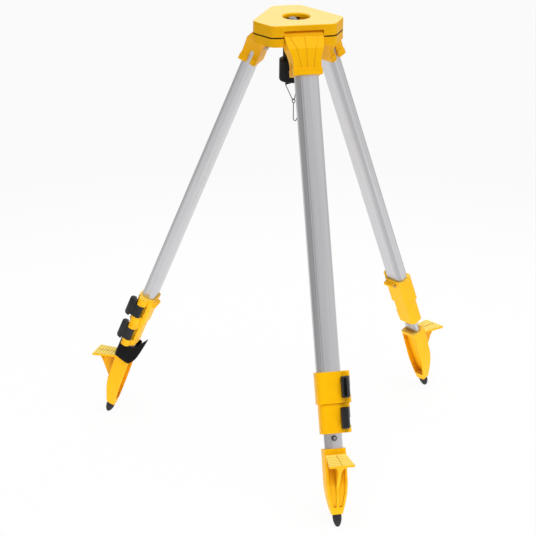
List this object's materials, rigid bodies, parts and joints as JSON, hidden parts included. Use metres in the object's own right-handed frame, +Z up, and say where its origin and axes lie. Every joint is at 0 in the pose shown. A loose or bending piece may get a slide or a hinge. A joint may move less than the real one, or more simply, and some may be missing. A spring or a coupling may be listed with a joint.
{
  "type": "surveying tripod",
  "caption": "Surveying tripod with a flat triangular head, a captive centre screw on a swinging arm, telescopic flat tube legs with cam-lever clamps, pedal feet and blunt points.",
  "frame": {"origin": "centre of the flat instrument seat, at the middle of its hole", "axes": "+Z up, square to the seat; -Y towards the front leg; +X to the right as seen from the front"},
  "size_m": [0.684, 0.5923, 0.7995],
  "materials": {
    "yellow_plastic": "satin moulded",
    "black_plastic": "satin moulded",
    "anodised_aluminium": "satin anodised",
    "zinc_steel": "zinc plated",
    "dark_steel": "turned",
    "steel_wire": "drawn",
    "pad_nylon": "natural",
    "black_rubber": "matte",
    "black_webbing": "woven"
  },
  "bodies": {
    "head": {"head_plate": "yellow_plastic", "hinge_frame": "yellow_plastic", "head_fasteners": "zinc_steel", "hinge_pins": "zinc_steel"},
    "screw_arm": {"screw_arm": "zinc_steel"},
    "screw_bush": {"screw_bush": "dark_steel"},
    "lift_ring": {"lift_ring": "zinc_steel"},
    "centre_screw": {"centre_screw": "dark_steel", "screw_knob": "black_plastic"},
    "plumb_bail": {"plumb_bail": "steel_wire"},
    "plumb_hook": {"plumb_hook": "steel_wire"},
    "front_leg_upper": {"front_leg_shoulder": "yellow_plastic", "front_leg_fasteners": "zinc_steel", "front_leg_upper_tube": "anodised_aluminium", "front_leg_upper_clamp": "yellow_plastic", "front_leg_upper_lever_pin": "zinc_steel", "front_leg_upper_brake_pad": "pad_nylon"},
    "front_leg_upper_lever": {"front_leg_upper_lever": "black_plastic"},
    "front_leg_middle": {"front_leg_middle_tube": "anodised_aluminium", "front_leg_lower_clamp": "yellow_plastic", "front_leg_lower_lever_pin": "zinc_steel", "front_leg_lower_brake_pad": "pad_nylon"},
    "front_leg_lower_lever": {"front_leg_lower_lever": "black_plastic"},
    "front_leg_lower": {"front_leg_lower_tube": "anodised_aluminium", "front_leg_stop_bolt": "zinc_steel", "front_leg_foot": "yellow_plastic", "front_leg_foot_tip": "black_rubber"},
    "right_leg_upper": {"right_leg_shoulder": "yellow_plastic", "right_leg_fasteners": "zinc_steel", "right_leg_upper_tube": "anodised_aluminium", "right_leg_upper_clamp": "yellow_plastic", "right_leg_upper_lever_pin": "zinc_steel", "right_leg_upper_brake_pad": "pad_nylon"},
    "right_leg_upper_lever": {"right_leg_upper_lever": "black_plastic"},
    "right_leg_middle": {"right_leg_middle_tube": "anodised_aluminium", "right_leg_lower_clamp": "yellow_plastic", "right_leg_lower_lever_pin": "zinc_steel", "right_leg_lower_brake_pad": "pad_nylon"},
    "right_leg_lower_lever": {"right_leg_lower_lever": "black_plastic"},
    "right_leg_lower": {"right_leg_lower_tube": "anodised_aluminium", "right_leg_stop_bolt": "zinc_steel", "right_leg_foot": "yellow_plastic", "right_leg_foot_tip": "black_rubber"},
    "left_leg_upper": {"left_leg_shoulder": "yellow_plastic", "left_leg_fasteners": "zinc_steel", "left_leg_upper_tube": "anodised_aluminium", "left_leg_upper_clamp": "yellow_plastic", "left_leg_upper_lever_pin": "zinc_steel", "left_leg_upper_brake_pad": "pad_nylon"},
    "left_leg_upper_lever": {"left_leg_upper_lever": "black_plastic"},
    "left_leg_middle": {"left_leg_middle_tube": "anodised_aluminium", "left_leg_lower_clamp": "yellow_plastic", "left_leg_lower_lever_pin": "zinc_steel", "left_leg_lower_brake_pad": "pad_nylon"},
    "left_leg_lower_lever": {"left_leg_lower_lever": "black_plastic"},
    "left_leg_lower": {"left_leg_lower_tube": "anodised_aluminium", "left_leg_stop_bolt": "zinc_steel", "left_leg_foot": "yellow_plastic", "left_leg_foot_tip": "black_rubber", "leg_strap": "black_webbing"}
  },
  "joints": [
    {"name": "screw_arm_swing", "type": "hinge", "parent": "head", "child": "screw_arm", "pos_m": [0, 0.058, -0.018], "axis": [0, 0, 1], "range_deg": [-2.3, 14.7]},
    {"name": "screw_shift", "type": "slide", "parent": "screw_arm", "child": "screw_bush", "axis": [-0.108, -0.9942, 0], "range_m": [-0.008, 0.008]},
    {"name": "screw_lift", "type": "slide", "parent": "screw_bush", "child": "lift_ring", "axis": [0, 0, 1], "range_m": [0, 0.011]},
    {"name": "knob_spin", "type": "hinge", "parent": "lift_ring", "child": "centre_screw", "pos_m": [-0.00626, 0.00034, -0.05], "axis": [0, 0, 1], "continuous": true},
    {"name": "bail_swing", "type": "hinge", "parent": "centre_screw", "child": "plumb_bail", "pos_m": [-0.00626, 0.00034, -0.1173], "axis": [0.8443, 0.5358, 0], "range_deg": [-50.4, 69.6]},
    {"name": "hook_swing", "type": "hinge", "parent": "plumb_bail", "child": "plumb_hook", "pos_m": [-0.00343, -0.00412, -0.14856], "axis": [0.8443, 0.5358, 0], "range_deg": [-60, 60]},
    {"name": "front_leg_fold", "type": "hinge", "parent": "head", "child": "front_leg_upper", "pos_m": [0, -0.051, -0.0212], "axis": [1, 0, 0], "range_deg": [0, 22.4]},
    {"name": "front_leg_upper_lever_open", "type": "hinge", "parent": "front_leg_upper", "child": "front_leg_upper_lever", "pos_m": [0.0275, -0.28584, -0.57391], "axis": [0, 0.3811, 0.9245], "range_deg": [0, 110]},
    {"name": "front_leg_middle_slide", "type": "slide", "parent": "front_leg_upper", "child": "front_leg_middle", "axis": [0, -0.3811, -0.9245], "range_m": [0, 0.45]},
    {"name": "front_leg_lower_lever_open", "type": "hinge", "parent": "front_leg_middle", "child": "front_leg_lower_lever", "pos_m": [0.024, -0.30581, -0.62236], "axis": [0, 0.3811, 0.9245], "range_deg": [0, 110]},
    {"name": "front_leg_lower_slide", "type": "slide", "parent": "front_leg_middle", "child": "front_leg_lower", "axis": [0, -0.3811, -0.9245], "range_m": [0, 0.45]},
    {"name": "right_leg_fold", "type": "hinge", "parent": "head", "child": "right_leg_upper", "pos_m": [0.04417, 0.0255, -0.0212], "axis": [-0.5, 0.866, 0], "range_deg": [0, 22.4]},
    {"name": "right_leg_upper_lever_open", "type": "hinge", "parent": "right_leg_upper", "child": "right_leg_upper_lever", "pos_m": [0.2338, 0.16674, -0.57391], "axis": [-0.33, -0.1905, 0.9245], "range_deg": [0, 110]},
    {"name": "right_leg_middle_slide", "type": "slide", "parent": "right_leg_upper", "child": "right_leg_middle", "axis": [0.33, 0.1905, -0.9245], "range_m": [0, 0.45]},
    {"name": "right_leg_lower_lever_open", "type": "hinge", "parent": "right_leg_middle", "child": "right_leg_lower_lever", "pos_m": [0.25284, 0.17369, -0.62236], "axis": [-0.33, -0.1905, 0.9245], "range_deg": [0, 110]},
    {"name": "right_leg_lower_slide", "type": "slide", "parent": "right_leg_middle", "child": "right_leg_lower", "axis": [0.33, 0.1905, -0.9245], "range_m": [0, 0.45]},
    {"name": "left_leg_fold", "type": "hinge", "parent": "head", "child": "left_leg_upper", "pos_m": [-0.04417, 0.0255, -0.0212], "axis": [-0.5, -0.866, 0], "range_deg": [0, 22.4]},
    {"name": "left_leg_upper_lever_open", "type": "hinge", "parent": "left_leg_upper", "child": "left_leg_upper_lever", "pos_m": [-0.2613, 0.11911, -0.57391], "axis": [0.33, -0.1905, 0.9245], "range_deg": [0, 110]},
    {"name": "left_leg_middle_slide", "type": "slide", "parent": "left_leg_upper", "child": "left_leg_middle", "axis": [-0.33, 0.1905, -0.9245], "range_m": [0, 0.45]},
    {"name": "left_leg_lower_lever_open", "type": "hinge", "parent": "left_leg_middle", "child": "left_leg_lower_lever", "pos_m": [-0.27684, 0.13212, -0.62236], "axis": [0.33, -0.1905, 0.9245], "range_deg": [0, 110]},
    {"name": "left_leg_lower_slide", "type": "slide", "parent": "left_leg_middle", "child": "left_leg_lower", "axis": [-0.33, 0.1905, -0.9245], "range_m": [0, 0.45]}
  ]
}
